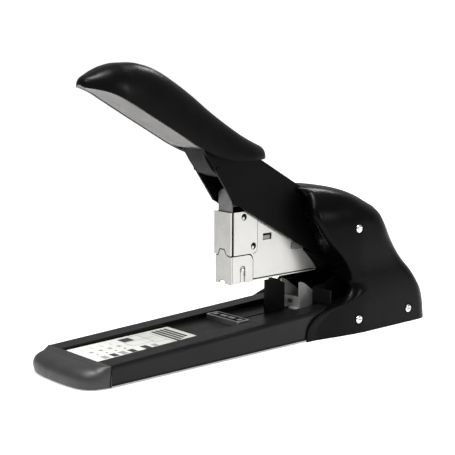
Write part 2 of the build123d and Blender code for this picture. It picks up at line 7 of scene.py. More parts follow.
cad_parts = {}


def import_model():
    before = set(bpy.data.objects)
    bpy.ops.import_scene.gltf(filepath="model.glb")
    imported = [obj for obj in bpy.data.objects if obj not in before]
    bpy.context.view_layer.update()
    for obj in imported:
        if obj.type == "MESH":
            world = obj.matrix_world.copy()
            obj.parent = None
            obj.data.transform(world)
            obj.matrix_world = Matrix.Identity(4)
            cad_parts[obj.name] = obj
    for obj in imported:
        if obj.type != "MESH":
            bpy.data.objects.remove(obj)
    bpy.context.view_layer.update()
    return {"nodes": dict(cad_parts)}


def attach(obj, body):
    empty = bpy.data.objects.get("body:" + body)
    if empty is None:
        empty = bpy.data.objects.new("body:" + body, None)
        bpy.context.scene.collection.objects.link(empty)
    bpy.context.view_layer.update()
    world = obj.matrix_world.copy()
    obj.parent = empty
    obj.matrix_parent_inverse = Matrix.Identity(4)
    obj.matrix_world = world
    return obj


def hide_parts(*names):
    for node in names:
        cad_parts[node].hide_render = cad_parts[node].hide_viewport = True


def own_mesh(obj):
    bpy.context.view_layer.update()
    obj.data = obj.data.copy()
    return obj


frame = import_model()

MM = 0.001
SEAM_X = -126.0          # seam of the nose cap, the zero of distances along the base
NOISE_LOW, NOISE_HIGH = 0.3, 0.7     # part of a noise texture's range that is used
ROUND = 24               # corners of a small circle


# ------------------------------------------------------------------ materials

def new_material(name):
    mat = bpy.data.materials.new(name)
    mat.use_nodes = True
    tree = mat.node_tree
    bsdf = tree.nodes["Principled BSDF"]
    coords = tree.nodes.new("ShaderNodeTexCoord")
    return mat, tree, bsdf, coords


def noise(tree, coords, scale, detail=4.0, stretch=(1, 1, 1), rough=0.5):
    mapping = tree.nodes.new("ShaderNodeMapping")
    mapping.inputs["Scale"].default_value = stretch
    tex = tree.nodes.new("ShaderNodeTexNoise")
    tex.inputs["Scale"].default_value = scale
    tex.inputs["Detail"].default_value = detail
    tex.inputs["Roughness"].default_value = rough
    tree.links.new(coords.outputs["Object"], mapping.inputs["Vector"])
    tree.links.new(mapping.outputs["Vector"], tex.inputs["Vector"])
    return tex.outputs["Fac"]


def spread(tree, value, low, high):
    """The noise value stretched to run from low to high."""
    node = tree.nodes.new("ShaderNodeMapRange")
    node.inputs["From Min"].default_value = NOISE_LOW
    node.inputs["From Max"].default_value = NOISE_HIGH
    node.inputs["To Min"].default_value = low
    node.inputs["To Max"].default_value = high
    tree.links.new(value, node.inputs["Value"])
    return node.outputs["Result"]


def tint(tree, value, dark, light):
    """The noise value as a colour between dark and light."""
    ramp = tree.nodes.new("ShaderNodeValToRGB")
    ramp.color_ramp.elements[0].position = NOISE_LOW
    ramp.color_ramp.elements[1].position = NOISE_HIGH
    ramp.color_ramp.elements[0].color = (*dark, 1)
    ramp.color_ramp.elements[1].color = (*light, 1)
    tree.links.new(value, ramp.inputs["Fac"])
    return ramp.outputs["Color"]


def relief(tree, bsdf, heights, strength):
    """Adds up (height output, distance in metres) pairs as one chain of bumps."""
    last = None
    for value, distance in heights:
        bump = tree.nodes.new("ShaderNodeBump")
        bump.inputs["Strength"].default_value = strength
        bump.inputs["Distance"].default_value = distance
        tree.links.new(value, bump.inputs["Height"])
        if last:
            tree.links.new(last, bump.inputs["Normal"])
        last = bump.outputs["Normal"]
    tree.links.new(last, bsdf.inputs["Normal"])


def moulded(name, dark, light, rough, grain=900.0, grain_depth=0.00004, specular=0.5):
    """Moulded plastic or paint: fine grain, faint flow marks, uneven gloss."""
    mat, tree, bsdf, coords = new_material(name)
    fine = noise(tree, coords, grain, 2.0)
    broad = noise(tree, coords, 45.0, 3.0)
    tree.links.new(tint(tree, broad, dark, light), bsdf.inputs["Base Color"])
    gloss = spread(tree, noise(tree, coords, 120.0, 5.0), rough[0], rough[1])
    tree.links.new(gloss, bsdf.inputs["Roughness"])
    bsdf.inputs["Specular IOR Level"].default_value = specular
    relief(tree, bsdf, [(fine, grain_depth), (broad, 0.00006)], 0.25)
    return mat


def metal(name, dark, light, rough, stretch=(60, 60, 2), grain=40.0, depth=0.00003, metallic=1.0):
    """Rolled or ground sheet: streaks along the rolling direction and fine scratches."""
    mat, tree, bsdf, coords = new_material(name)
    streak = noise(tree, coords, grain, 6.0, stretch, 0.65)
    cloud = noise(tree, coords, 70.0, 3.0)
    tree.links.new(tint(tree, cloud, dark, light), bsdf.inputs["Base Color"])
    tree.links.new(spread(tree, streak, rough[0], rough[1]), bsdf.inputs["Roughness"])
    bsdf.inputs["Metallic"].default_value = metallic
    relief(tree, bsdf, [(streak, depth)], 0.2)
    return mat


COVER = moulded("cover_black", (0.0010, 0.0010, 0.0012), (0.0016, 0.0016, 0.0018), (0.24, 0.30),
                1400.0, 0.000006, specular=0.07)
GRIP = moulded("grip_black", (0.0012, 0.0012, 0.0014), (0.0024, 0.0024, 0.0026), (0.28, 0.35),
               1600.0, 0.00001, specular=0.09)
ARM = moulded("arm_black", (0.0010, 0.0010, 0.0012), (0.0020, 0.0020, 0.0022), (0.36, 0.45),
              1100.0, 0.00001, specular=0.06)
DARK = moulded("inner_black", (0.003, 0.003, 0.003), (0.005, 0.005, 0.005), (0.45, 0.6),
               specular=0.1)
BASE = moulded("base_paint", (0.0035, 0.0035, 0.004), (0.0055, 0.0055, 0.006), (0.28, 0.38),
               1500.0, 0.00001, specular=0.16)
NOSE = moulded("nose_grain", (0.014, 0.014, 0.015), (0.020, 0.020, 0.021), (0.42, 0.55),
               700.0, 0.00005)
INSERT = moulded("insert_grey", (0.105, 0.100, 0.095), (0.125, 0.119, 0.114), (0.5, 0.62),
                 900.0, 0.00004)
RUBBER = moulded("rubber", (0.012, 0.012, 0.012), (0.022, 0.022, 0.022), (0.7, 0.85),
                 500.0, 0.0001)
BLOCK = moulded("driver_grey", (0.016, 0.016, 0.017), (0.026, 0.026, 0.027), (0.35, 0.5),
                900.0, 0.00003)
NICKEL = metal("nickel_sheet", (0.50, 0.494, 0.478), (0.55, 0.544, 0.528), (0.22, 0.27),
               (12, 12, 2), 30.0, 0.000006, 0.75)
# A darker copy of the nickel for the faces turned to the front: painted shade.
NICKEL_SHADED_FRONT = metal("nickel_painted_shade_front", (0.34, 0.336, 0.325), (0.38, 0.376, 0.365), (0.24, 0.30),
                     (12, 12, 2), 30.0, 0.000006, 0.8)
BRACKET = metal("bracket_sheet", (0.34, 0.34, 0.33), (0.42, 0.42, 0.41), (0.3, 0.4),
                (12, 12, 4), 30.0, 0.000006, 0.3)
PIN_GREY = metal("pin_grey", (0.16, 0.16, 0.155), (0.22, 0.22, 0.215), (0.3, 0.4),
                 (12, 12, 12), 30.0, 0.000006)
STEEL = metal("steel", (0.50, 0.50, 0.50), (0.66, 0.66, 0.66), (0.24, 0.4), (3, 60, 60))
BRIGHT = metal("bright_screw", (0.75, 0.75, 0.76), (0.88, 0.88, 0.88), (0.12, 0.22), (30, 30, 30))
WIRE = metal("spring_wire", (0.32, 0.32, 0.33), (0.45, 0.45, 0.46), (0.3, 0.45), (20, 20, 20))
BLADE = metal("blade_steel", (0.10, 0.10, 0.105), (0.17, 0.17, 0.175), (0.3, 0.42), (60, 60, 3))
# Painted shade: flat black laid into seams, gaps, holes, the window, the anvil and the screw cups,
# where shade falls.
PAINTED_SHADE = moulded("painted_shade_black", (0.002, 0.002, 0.002), (0.004, 0.004, 0.004), (0.6, 0.8), specular=0.05)
PAPER = moulded("paper", (0.58, 0.58, 0.55), (0.63, 0.63, 0.60), (0.6, 0.75), 1800.0, 0.00003)
INK = moulded("ink", (0.012, 0.012, 0.013), (0.03, 0.03, 0.032), (0.5, 0.6))
# Grey for print on the label, and also painted shade on the magazine's corner, inside its window and
# in the screw crosses.
PRINT_AND_SHADE_GREY = moulded("print_and_painted_shade_grey", (0.22, 0.22, 0.22), (0.30, 0.30, 0.30), (0.5, 0.6))


# ------------------------------------------------------------------ mesh helpers

def make(name, verts, faces, mat, body, smooth=True):
    """A mesh object from points in millimetres, riding on a body."""
    mesh = bpy.data.meshes.new(name)
    mesh.from_pydata([Vector(v) * MM for v in verts], [], faces)
    mesh.validate()
    obj = bpy.data.objects.new(name, mesh)
    bpy.context.scene.collection.objects.link(obj)
    bm = bmesh.new()
    bm.from_mesh(mesh)
    bmesh.ops.remove_doubles(bm, verts=bm.verts, dist=1e-6)
    bmesh.ops.recalc_face_normals(bm, faces=bm.faces)
    bm.to_mesh(mesh)
    bm.free()
    for poly in mesh.polygons:
        poly.use_smooth = smooth
    mesh.materials.append(mat)
    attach(obj, body)
    return obj


def detail(node, mat, body, bevel, segments=2, angle=32):
    """A finished copy of a CAD node: clean faces, rolled edges and its own material."""
    source = frame["nodes"][node]
    mesh = source.data.copy()
    obj = bpy.data.objects.new(node + "_finished", mesh)
    bpy.context.scene.collection.objects.link(obj)
    bm = bmesh.new()
    bm.from_mesh(mesh)
    bmesh.ops.remove_doubles(bm, verts=bm.verts, dist=2e-6)
    bmesh.ops.dissolve_limit(bm, angle_limit=math.radians(0.8), verts=bm.verts, edges=bm.edges)
    if bevel:
        sharp = [e for e in bm.edges
                 if len(e.link_faces) == 2 and e.calc_face_angle() > math.radians(angle)]
        bmesh.ops.bevel(bm, geom=sharp, offset=bevel * MM, segments=segments, profile=0.6,
                        affect="EDGES", clamp_overlap=True)
    bm.to_mesh(mesh)
    bm.free()
    mesh.materials.clear()
    mesh.materials.append(mat)
    for poly in mesh.polygons:
        poly.use_smooth = True
        poly.material_index = 0
    mod = obj.modifiers.new("normals", "WEIGHTED_NORMAL")
    mod.keep_sharp = True
    mesh.set_sharp_from_angle(angle=math.radians(40))
    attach(obj, body)
    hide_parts(node)
    return obj


def curve_through(xs, ys):
    """Smooth cubic through the points, without overshoot."""
    xs, ys = np.array(xs, float), np.array(ys, float)
    h, d = np.diff(xs), np.diff(ys) / np.diff(xs)
    m = np.zeros(len(xs))
    m[0], m[-1] = d[0], d[-1]
    for i in range(1, len(xs) - 1):
        if d[i - 1] * d[i] > 0:
            w1, w2 = 2 * h[i] + h[i - 1], h[i] + 2 * h[i - 1]
            m[i] = (w1 + w2) / (w1 / d[i - 1] + w2 / d[i])

    def value(x):
        x = min(max(x, xs[0]), xs[-1])
        i = min(int(np.searchsorted(xs, x, side="right")) - 1, len(xs) - 2)
        t = (x - xs[i]) / h[i]
        return float((2 * t ** 3 - 3 * t ** 2 + 1) * ys[i]
                     + (t ** 3 - 2 * t ** 2 + t) * h[i] * m[i]
                     + (-2 * t ** 3 + 3 * t ** 2) * ys[i + 1]
                     + (t ** 3 - t ** 2) * h[i] * m[i + 1])
    return value


def smoothstep(a, b, x):
    t = min(max((x - a) / (b - a), 0.0), 1.0)
    return t * t * (3 - 2 * t)


def grid_faces(rows, cols, start=0):
    """Quads over a grid of points that were stored row by row."""
    faces = []
    for i in range(rows - 1):
        for j in range(cols - 1):
            a = start + i * cols + j
            faces.append((a, a + 1, a + cols + 1, a + cols))
    return faces


def ribbon(name, path, width, level, plane, body, mat, sides=(1,)):
    """A thin flat strip along a path, laid on a sheet: a line of painted shade and not a real gap.

    plane is "side" (path in x, z at y = level) or "front" (path in y, z at x = level).
    """
    verts, faces = [], []
    for side in sides:
        base = len(verts)
        pts = [Vector(p) for p in path]
        for i, p in enumerate(pts):
            back = (p - pts[i - 1]).normalized() if i else (pts[1] - p).normalized()
            ahead = (pts[i + 1] - p).normalized() if i < len(pts) - 1 else back
            run = (back + ahead).normalized()
            off = Vector((-run.y, run.x)) * width / 2
            for q in (p - off, p + off):
                if plane == "side":
                    verts.append((q.x + SEAM_X, side * level, q.y))
                else:
                    verts.append((level + SEAM_X, q.x, q.y))
        for i in range(len(pts) - 1):
            a = base + 2 * i
            faces.append((a, a + 1, a + 3, a + 2))
    obj = make(name, verts, faces, mat, body, smooth=False)


def disc(name, x, z, radius, level, body, mat):
    """A flat disc laid on each of the two sides."""
    verts, faces = [], []
    for side in (-1, 1):
        base = len(verts)
        for k in range(ROUND):
            a = 2 * math.pi * k / ROUND
            verts.append((x + SEAM_X + radius * math.cos(a), side * level,
                          z + radius * math.sin(a)))
        faces.append([base + k for k in range(ROUND)])
    obj = make(name, verts, faces, mat, body, smooth=False)


# ------------------------------------------------------------------ rear covers

# Horizontal sections: height, rear end, half-width, corner radius in plan.
LEVELS = [(0.0, 270.6, 39.1, 12.5), (10.5, 269.9, 38.9, 13.0), (19.5, 268.4, 38.6, 14.0),
          (27.5, 265.0, 38.0, 16.0), (36.0, 259.4, 37.0, 18.0), (41.0, 255.5, 36.3, 20.0),
          (47.0, 251.4, 35.8, 22.0), (58.0, 245.4, 35.5, 25.0), (67.0, 241.5, 35.0, 26.0),
          (75.0, 237.5, 34.3, 27.5), (80.5, 232.0, 33.0, 28.0), (84.0, 226.0, 31.6, 28.0),
          (88.5, 218.0, 28.8, 26.0), (93.5, 204.0, 24.2, 21.0), (96.8, 188.0, 18.5, 16.0),
          (98.5, 171.0, 12.0, 11.0), (99.0, 145.0, 9.0, 8.0)]
TOP = 99.0
stern = curve_through([s[0] for s in LEVELS], [s[1] for s in LEVELS])
breadth = curve_through([s[0] for s in LEVELS], [s[2] for s in LEVELS])
corner = curve_through([s[0] for s in LEVELS], [s[3] for s in LEVELS])
taper = curve_through([145, 153, 169, 187, 204, 271], [9.4, 7.4, 4.4, 1.5, 0, 0])

# Front edge as drawn at EDGE_HALF_W; nearer the middle it slides along EDGE_SLIDE.
EDGE = [(149.2, -1.0), (149.4, 3.6), (150.8, 9.1), (155.9, 13.9), (163.0, 17.0), (171.8, 19.6),
        (184.0, 22.0), (192.0, 26.0), (195.5, 31.0), (194.0, 37.0), (190.0, 44.3), (183.2, 52.5),
        (172.7, 62.2), (164.8, 71.3), (158.8, 81.3), (156.8, 88.5), (155.8, 92.5), (154.6, 95.4),
        (153.2, 98.0), (150.9, 99.5), (147.3, 101.1), (143.8, 102.2), (136.1, 106.5)]
edge_x = curve_through([z for x, z in EDGE], [x for x, z in EDGE])
EDGE_HALF_W = 36.0
EDGE_SLIDE = (0.887, -0.222)
REAR_END = 270.5
COVER_ROWS = 97
SIDE_STEPS, TOP_STEPS = 160, 40      # samples up the side of a section and across its top
SECTION_POINTS = 260                 # evenly spaced points kept of each section
SMOOTHING = 3.2                      # reach of the smoothing along a section


def crown(x):
    """Height of the covers' top at one distance along."""
    low, high = 0.0, TOP
    for _ in range(30):
        mid = (low + high) / 2
        low, high = (mid, high) if stern(mid) > x else (low, mid)
    return low


def outside(x, z):
    """Half-width of the covers at one distance along and one height."""
    r, w, c = stern(z), breadth(z), corner(z)
    if x > r - c:
        w += math.sqrt(max(c * c - (x - r + c) ** 2, 0.0)) - c
    return max(w - taper(x), 0.0)


def section(x):
    """Evenly spaced points of the outside at that distance along, from the table to the crown."""
    top = crown(x)
    zs = top * np.sin(np.linspace(0, math.pi / 2, SIDE_STEPS))
    ys = np.array([outside(x, z) for z in zs])
    ys = np.append(ys, np.linspace(ys[-1], 0, TOP_STEPS)[1:])
    zs = np.append(zs, np.full(TOP_STEPS - 1, zs[-1]))
    run = np.append(0, np.cumsum(np.hypot(np.diff(ys), np.diff(zs))))
    even = np.linspace(0, run[-1], SECTION_POINTS)
    ys, zs = np.interp(even, run, ys), np.interp(even, run, zs)
    step = run[-1] / (SECTION_POINTS - 1)
    reach = max(int(SMOOTHING / step), 1)
    pad_y = np.concatenate((2 * ys[0] - ys[reach:0:-1], ys, -ys[-2:-reach - 2:-1]))
    pad_z = np.concatenate((2 * zs[0] - zs[reach:0:-1], zs, zs[-2:-reach - 2:-1]))
    kernel = np.hanning(2 * reach + 3)[1:-1]
    kernel /= kernel.sum()
    return np.convolve(pad_y, kernel, "valid"), np.convolve(pad_z, kernel, "valid")


SECTION_X = np.concatenate((np.arange(146.0, 214.0, 3.0), np.arange(214.0, 262.0, 1.0),
                            np.arange(262.0, 270.4, 0.25), [REAR_END]))
SECTIONS = [section(x) for x in SECTION_X]


def arch(x, v):
    """Point of the covers' outside; v runs from the table (0) to the crown (1)."""
    i = min(max(int(np.searchsorted(SECTION_X, x, side="right")) - 1, 0), len(SECTION_X) - 2)
    t = (x - SECTION_X[i]) / (SECTION_X[i + 1] - SECTION_X[i])
    k = v * (SECTION_POINTS - 1)
    j = min(int(k), SECTION_POINTS - 2)
    out = []
    for axis in (0, 1):
        a = [SECTIONS[i + n][axis][j] * (1 - k + j) + SECTIONS[i + n][axis][j + 1] * (k - j)
             for n in (0, 1)]
        out.append(a[0] * (1 - t) + a[1] * t)
    return out


def crease(v):
    """Where the front edge crosses the line of the outside at v, found by repeated steps."""
    x = 168.0
    for _ in range(80):
        y, z = arch(x, v)
        gap = EDGE_HALF_W - y
        x = 0.6 * x + 0.4 * (edge_x(z - EDGE_SLIDE[1] * gap) + EDGE_SLIDE[0] * gap)
    return x


def inner_half_width(z):
    """Where the front wall stops, beside the base, the mouth and the arm."""
    beside_base, beside_mouth, beside_arm, at_top = 32.2, 29.8, 15.5, 12.5
    return (beside_base + (beside_mouth - beside_base) * smoothstep(17.0, 20.0, z)
            + (beside_arm - beside_mouth) * smoothstep(31.0, 38.0, z)
            + (at_top - beside_arm) * smoothstep(74.0, 80.0, z))


def cover(side, name, node):
    """One shell: the arched outside, a rolled front edge, the front wall and its turned-in end."""
    rows, cols, roll_n, wall_n = COVER_ROWS, 90, 9, 8
    climb = np.diff([crown(x) for x in SECTION_X])
    run = np.append(0, np.cumsum(np.hypot(np.diff(SECTION_X), climb)))
    verts = []
    width = cols + roll_n + wall_n + 1
    for i in range(rows):
        v = i / (rows - 1)
        x0 = crease(v)
        y0, z0 = arch(x0, v)
        r = 4.0 + 7.5 * math.exp(-((z0 - 29.0) / 9.0) ** 2) + 4.0 * smoothstep(20.0, 12.0, z0)
        yi = min(inner_half_width(z0), max(y0 - 0.3, 0.0))
        ry = min(r, 0.72 * (y0 - yi) + 0.2)
        start = x0 + r
        here = float(np.interp(start, SECTION_X, run))
        line = []
        for s in np.linspace(1, 0, cols):
            x = float(np.interp(here + (run[-1] - here) * s, run, SECTION_X))
            y, z = arch(x, v)
            line.append((x, y, z))
        y1, z1 = line[-1][1:]
        lean = smoothstep(30.0, 8.0, y0)
        out_y, out_z = math.cos(lean * math.pi / 2), math.sin(lean * math.pi / 2)
        for j in range(1, roll_n + 1):
            a = math.radians(112 * j / roll_n)
            depth = ry * (1 - math.cos(a))
            line.append((start - r * math.sin(a), max(y1 - depth * out_y, 0.0),
                         z1 - depth * out_z))
        last = line[-1]
        span = max(last[1] - yi, 0.0)
        flare = 0.30 * smoothstep(52.0, 76.0, z0)
        end = (max(last[0], x0 + flare * span + 1.0), min(yi, last[1]), last[2] - 0.04 * span)
        for j in range(1, wall_n + 1):
            s = j / wall_n
            dish = min(1.5, 0.09 * span) * math.sin(math.pi * s) * smoothstep(60.0, 75.0, z0)
            line.append((last[0] + (end[0] - last[0]) * s + dish,
                         last[1] + (end[1] - last[1]) * s,
                         last[2] + (end[2] - last[2]) * s))
        line.append((end[0] + 9.0, end[1], end[2]))
        verts += [(x + SEAM_X, side * y, max(z, 0.02)) for x, y, z in line]
    faces = grid_faces(rows, width)
    faces.append([i * width for i in range(rows)])
    obj = make(name, verts, faces, COVER, "base")
    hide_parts(node)


cover(-1, "cover_near_shell", "cover_near")
cover(1, "cover_far_shell", "cover_far")
detail("cover_spine", DARK, "base", 0.15)


def cover_screws():
    """Six cross-head screws. A dark ring laid on the cover is painted shade standing for each one's
    cup, and a grey cross on each head is painted shade for its recess.
    """
    cup_shades, heads, slot_shades = ([], []), ([], []), ([], [])

    def patch(store, x, z, side, rings, lift):
        verts, faces = store
        base = len(verts)
        for r, rise in rings:
            for k in range(ROUND):
                a = 2 * math.pi * k / ROUND
                px, pz = x + r * math.cos(a), z + r * math.sin(a)
                level = outside(x, z) if lift else outside(px, pz)
                verts.append((px + SEAM_X, side * (level + rise), pz))
        for i in range(len(rings) - 1):
            near, far = base + ROUND * i, base + ROUND * (i + 1)
            for k in range(ROUND):
                q = (k + 1) % ROUND
                faces.append((near + k, near + q, far + q, far + k))
        faces.append([base + ROUND * (len(rings) - 1) + k for k in range(ROUND)])

    for x, z in ((199.4, 69.7), (196.8, 9.6), (246.4, 9.6)):
        for side in (-1, 1):
            # A dark ring of painted shade stands for the screw's cup.
            patch(cup_shades, x, z, side, [(3.9, -0.2), (3.9, 0.07), (3.0, 0.05)], False)
            patch(heads, x + 0.2, z - 0.3, side,
                  [(2.75, -0.8), (2.75, 0.05), (2.2, 0.32), (1.2, 0.45)], True)
            # A grey cross of painted shade stands for the recess in the head.
            for w, h in ((1.9, 0.35), (0.35, 1.9)):
                n = len(slot_shades[0])
                level = outside(x, z) + 0.48
                for dx, dz in ((-w, -h), (w, -h), (w, h), (-w, h)):
                    slot_shades[0].append((x + 0.2 + dx + SEAM_X, side * level, z - 0.3 + dz))
                slot_shades[1].append((n, n + 1, n + 2, n + 3))
    for (verts, faces), mat, name in ((cup_shades, PAINTED_SHADE, "screw_cup_shades"), (heads, BRIGHT, "screw_heads"),
                                      (slot_shades, PRINT_AND_SHADE_GREY, "screw_slot_shades")):
        obj = make(name, verts, faces, mat, "base", smooth=name == "screw_heads")
        if name == "screw_heads":
            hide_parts("cover_screws")


cover_screws()


# ------------------------------------------------------------------ grip

# Distance along, half-width, underside, top.
GRIP_STATIONS = [(2.8, 2.2, 166.8, 169.8), (4.4, 5.2, 166.0, 171.4), (9.0, 9.0, 165.1, 173.7),
                 (14.0, 11.8, 163.8, 176.0), (20.0, 13.9, 161.6, 178.1), (27.0, 15.3, 158.0, 179.4),
                 (36.0, 15.8, 153.0, 179.6), (46.0, 16.0, 147.3, 178.0), (56.4, 16.1, 141.5, 174.2),
                 (67.0, 16.1, 135.5, 168.4), (79.5, 15.6, 128.4, 160.6), (93.0, 15.6, 122.6, 150.9),
                 (108.0, 16.0, 119.0, 141.0), (122.0, 15.2, 118.2, 132.8),
                 (132.0, 12.8, 118.0, 128.2), (138.0, 9.0, 118.2, 125.8), (141.0, 4.2, 119.4, 124.2)]
GRIP_START, GRIP_END = 2.8, 141.0
OPEN_START, OPEN_END = 82.0, 128.0   # the underside is left open here, over the arm
DOME_POINTS, UNDER_POINTS = 41, 9
PANEL_START, PANEL_END = 7.0, 78.9
PANEL_ROWS, PANEL_COLS = 41, 13
grip_w = curve_through([s[0] for s in GRIP_STATIONS], [s[1] for s in GRIP_STATIONS])
grip_low = curve_through([s[0] for s in GRIP_STATIONS], [s[2] for s in GRIP_STATIONS])
grip_top = curve_through([s[0] for s in GRIP_STATIONS], [s[3] for s in GRIP_STATIONS])


def grip_ring(x):
    """Cross-section of the grip: the dome from rim to rim, then the underside."""
    w, low, high = grip_w(x), grip_low(x), grip_top(x)
    t = high - low
    pts = []
    for k in range(DOME_POINTS):
        a = math.pi * k / (DOME_POINTS - 1)
        c, s = math.cos(a), math.sin(a)
        y = w * math.copysign(abs(c) ** 0.78, c)
        z = low + t * abs(s) ** 0.92
        pts.append((y, z))
    lip = min(1.7, 0.3 * w)
    inner = w - lip
    rise = min(0.7, 0.2 * t)
    for k in range(UNDER_POINTS):
        y = -inner + 2 * inner * k / (UNDER_POINTS - 1)
        pts.append((y, low + rise))
    return pts


def grip():
    xs = []
    steps = 110
    for i in range(steps + 1):
        s = i / steps
        eased = s - 0.075 * math.sin(2 * math.pi * s)
        xs.append(GRIP_START + (GRIP_END - GRIP_START) * eased)
    verts = []
    for x in xs:
        verts += [(x + SEAM_X, y, z) for y, z in grip_ring(x)]
    n = len(grip_ring(50.0))
    faces = []
    for i in range(steps):
        for j in range(n):
            k = (j + 1) % n
            if DOME_POINTS <= j < n - 1 and OPEN_START < xs[i] < OPEN_END:
                continue
            faces.append((i * n + j, i * n + k, (i + 1) * n + k, (i + 1) * n + j))
    faces.append(list(range(n)))
    faces.append([steps * n + j for j in range(n)])
    obj = make("grip_body", verts, faces, GRIP, "handle")
    obj.data.set_sharp_from_angle(angle=math.radians(50))
    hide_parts("grip_shell")


def grip_panel():
    """The grey insert in the underside of the grip."""
    rows, cols = PANEL_ROWS, PANEL_COLS
    last = rows - 1
    xs = [PANEL_START + (PANEL_END - PANEL_START) * i / last for i in range(rows)]
    verts = []
    for level in (0.15, 1.4):
        for x in xs:
            w = (grip_w(x) - 2.6) * min(1.0, ((x - 6.6) / 8.0) ** 0.5)
            for j in range(cols):
                y = -w + 2 * w * j / (cols - 1)
                verts.append((x + SEAM_X, y, grip_low(x) + level))
    faces = grid_faces(rows, cols) + grid_faces(rows, cols, rows * cols)
    rim = list(range(cols)) + [i * cols + cols - 1 for i in range(1, rows)]
    rim += [last * cols + j for j in range(cols - 2, -1, -1)]
    rim += [i * cols for i in range(last - 1, 0, -1)]
    for a, b in zip(rim, rim[1:] + rim[:1]):
        faces.append((a, b, b + rows * cols, a + rows * cols))
    obj = make("grip_panel", verts, faces, INSERT, "handle")
    obj.data.set_sharp_from_angle(angle=math.radians(40))
    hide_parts("grip_insert")


grip()
grip_panel()
detail("handle_arm", ARM, "handle", 0.35, 3)
detail("grip_core", DARK, "handle", 0.6, 3)
detail("core_pin", ARM, "handle", 0.3)
detail("press_pin", ARM, "handle", 0.3)


# ------------------------------------------------------------------ base

detail("base_channel", BASE, "base", 0.35, 3, 25)
detail("base_plate", DARK, "base", 0.3)


def nose_cap():
    """Front cap of the base: a rounded prow that flattens into the rails at the seam."""
    half = [(-19.0, 0.0), (-18.8, 9.0), (-18.0, 17.0), (-16.4, 23.4), (-13.2, 28.3),
            (-8.0, 31.2), (-0.1, 31.95)]
    keys = [0.0, 9.0, 17.1, 23.7, 29.6, 35.5, 43.5]      # distance along that outline
    top_z, seam_z = 12.3, 12.75
    along_x = curve_through(keys, [p[0] for p in half])
    across_y = curve_through(keys, [p[1] for p in half])
    levels = [(0.6, 1.5), (1.6, 0.7), (3.4, 0.2), (5.6, 0.0), (7.6, 0.45), (9.2, 1.4),
              (10.5, 2.9), (11.4, 4.7), (12.0, 7.0), (top_z, 9.5)]
    ts = [keys[-1] * k / 30 for k in range(30, -1, -1)]
    path = [(along_x(t), -across_y(t)) for t in ts]
    path += [(along_x(t), across_y(t)) for t in ts[-2::-1]]
    verts = []
    for z, inset in levels:
        for i, (x, y) in enumerate(path):
            ax, ay = path[max(i - 1, 0)]
            bx, by = path[min(i + 1, len(path) - 1)]
            run = math.hypot(bx - ax, by - ay)
            near_seam = smoothstep(0.0, 9.0, -x)
            push = inset * (0.10 + 0.90 * near_seam)
            lift = (seam_z - top_z) * (z / top_z) * (1 - near_seam)
            verts.append((x + (by - ay) / run * push * near_seam + SEAM_X,
                          y - (bx - ax) / run * push, z + lift))
    cols = len(path)
    faces = grid_faces(len(levels), cols)
    top = (len(levels) - 1) * cols
    half_n = cols // 2
    for i in range(half_n):
        a, b = top + i, top + cols - 1 - i
        faces.append((a, a + 1, b - 1, b) if i < half_n - 1 else (a, a + 1, b))
    faces.append(list(range(cols)))
    back = [k * cols for k in range(len(levels))]
    back += [k * cols + cols - 1 for k in range(len(levels) - 1, -1, -1)]
    faces.append(back)
    obj = make("nose_prow", verts, faces, NOSE, "base")
    obj.data.set_sharp_from_angle(angle=math.radians(50))
    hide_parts("nose_cap")
    # A dark strip of painted shade along the joint between the cap and the base, on both sides.
    line = [(0.0, 12.2), (-0.9, 6.0), (-1.3, 0.8)]
    ribbon("nose_joint_shade", line, 0.55, 32.03, "side", "base", PAINTED_SHADE, (-1, 1))


nose_cap()
detail("info_label", PAPER, "base", 0)
detail("anvil_plate", STEEL, "base", 0.2)
detail("anvil_rivets", STEEL, "base", 0.2)


def anvil_marks():
    """Flat patches: a dark field of painted shade for the anvil's relief, and bright steel patches
    on it for the clinch grooves.
    """
    # The dark field is painted shade; the steel patches laid over it are the grooves.
    fields = [(-15.6, -7.6, -13.8, 13.8, 17.34, PAINTED_SHADE, "anvil_painted_shade"),
              (-12.9, -10.1, 0.8, 6.6, 17.37, STEEL, "anvil_a"),
              (-12.9, -10.1, -6.6, -0.8, 17.37, STEEL, "anvil_b")]
    for y in (-11.2, 11.2):
        fields.append((-13.4, -9.8, y - 1.5, y + 1.5, 17.37, STEEL, "anvil_c%d" % (y > 0)))
    for x0, x1, y0, y1, z, mat, name in fields:
        verts = [(x0, y0, z), (x1, y0, z), (x1, y1, z), (x0, y1, z)]
        obj = make(name, verts, [(0, 1, 2, 3)], mat, "base", smooth=False)


anvil_marks()
detail("rubber_feet", RUBBER, "base", 0.3)
detail("guide_bracket", BRACKET, "base", 0.15)
detail("frame_plate_near", DARK, "base", 0.2)
detail("frame_plate_far", DARK, "base", 0.2)
detail("frame_rivets", STEEL, "base", 0.25)
detail("arm_axle", STEEL, "base", 0.4)
detail("magazine_axle", STEEL, "base", 0.4)
detail("axle_clips", WIRE, "base", 0.1)
detail("paper_stop", DARK, "stop", 0.35, 3)
detail("stop_shoe", DARK, "stop", 0.3)


def floor_z(x):
    """Height of the recess floor, which rises towards the rear."""
    return 11.35 + 0.0215 * x


